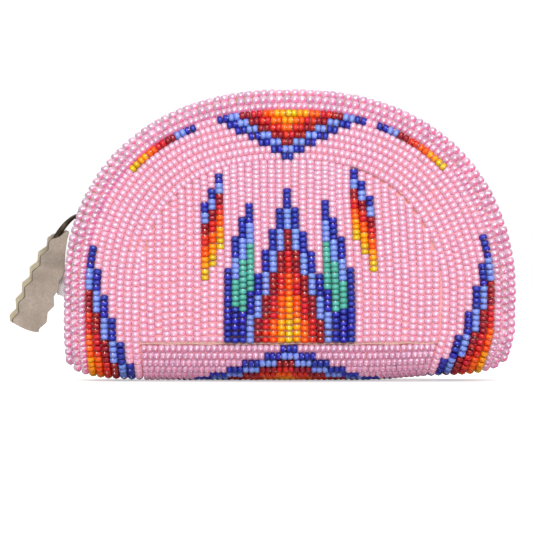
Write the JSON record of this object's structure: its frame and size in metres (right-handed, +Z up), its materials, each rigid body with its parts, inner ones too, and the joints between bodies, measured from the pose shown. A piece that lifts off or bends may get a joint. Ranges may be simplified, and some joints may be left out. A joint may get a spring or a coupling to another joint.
{
  "type": "coin purse",
  "caption": "Arched coin purse covered in seed-bead lanes with stepped flame motifs, folded at the bottom, with a zip round the arch and a suede pull",
  "frame": {"origin": "on the surface the purse stands on, under the middle of its fold", "axes": "+X along the purse towards its right end, +Y towards its back, +Z up"},
  "size_m": [0.1391, 0.0178, 0.0803],
  "materials": {
    "hide": "soft smoked hide",
    "pink": "pearl pink seed beads",
    "dark_blue": "dark blue seed beads",
    "light_blue": "periwinkle seed beads",
    "burgundy": "dark red seed beads",
    "red": "red seed beads",
    "orange": "orange seed beads",
    "amber": "amber seed beads",
    "yellow": "yellow seed beads",
    "turquoise": "turquoise seed beads",
    "tape": "woven cotton tape",
    "gunmetal": "dark antique metal",
    "suede": "taupe suede"
  },
  "bodies": {
    "purse": {"hide_shell": "hide", "edge_beads": "pink", "rim_beads": "pink", "border_beads_left": "pink", "border_beads_right": "pink", "border_beads_back": "pink", "front_panel_beads": "pink", "back_panel_beads": "pink", "bottom_beads": "pink", "zip_tape_front": "tape", "zip_tape_back": "tape", "zip_teeth_front": "gunmetal", "zip_teeth_back": "gunmetal", "top_stop_front": "gunmetal", "top_stop_back": "gunmetal", "bottom_stop": "gunmetal", "mountain_dark_blue": "dark_blue", "mountain_light_blue": "light_blue", "mountain_burgundy": "burgundy", "mountain_red": "red", "mountain_orange": "orange", "mountain_amber": "amber", "mountain_yellow": "yellow", "arch_triangle_dark_blue": "dark_blue", "bottom_diamond_dark_blue": "dark_blue", "left_flame_dark_blue": "dark_blue", "left_feather_dark_blue": "dark_blue", "right_flame_dark_blue": "dark_blue", "right_feather_dark_blue": "dark_blue", "arch_triangle_red": "red", "bottom_diamond_red": "red", "left_flame_red": "red", "left_feather_red": "red", "right_flame_red": "red", "right_feather_red": "red", "arch_triangle_amber": "amber", "bottom_diamond_amber": "amber", "left_flame_amber": "amber", "left_feather_amber": "amber", "right_flame_amber": "amber", "right_feather_amber": "amber", "left_plume_blue": "dark_blue", "left_plume_turquoise": "turquoise", "left_streak": "red", "right_plume_blue": "dark_blue", "right_plume_turquoise": "turquoise", "right_streak": "red"},
    "slider": {"slider": "gunmetal"},
    "pull_tab": {"pull_tab": "gunmetal"},
    "suede_strip": {"suede_strip": "suede"}
  },
  "joints": [
    {"name": "slider_travel", "type": "hinge", "parent": "purse", "child": "slider", "pos_m": [0, 0, 0.01305], "axis": [0, 1, 0], "range_deg": [0, 120]},
    {"name": "pull_swing", "type": "hinge", "parent": "slider", "child": "pull_tab", "pos_m": [-0.05743, 0, 0.04568], "axis": [0, 1, 0], "range_deg": [0, 125]},
    {"name": "strip_swing", "type": "hinge", "parent": "pull_tab", "child": "suede_strip", "pos_m": [-0.06471, 0, 0.03855], "axis": [0, 1, 0], "range_deg": [0, 30]}
  ]
}
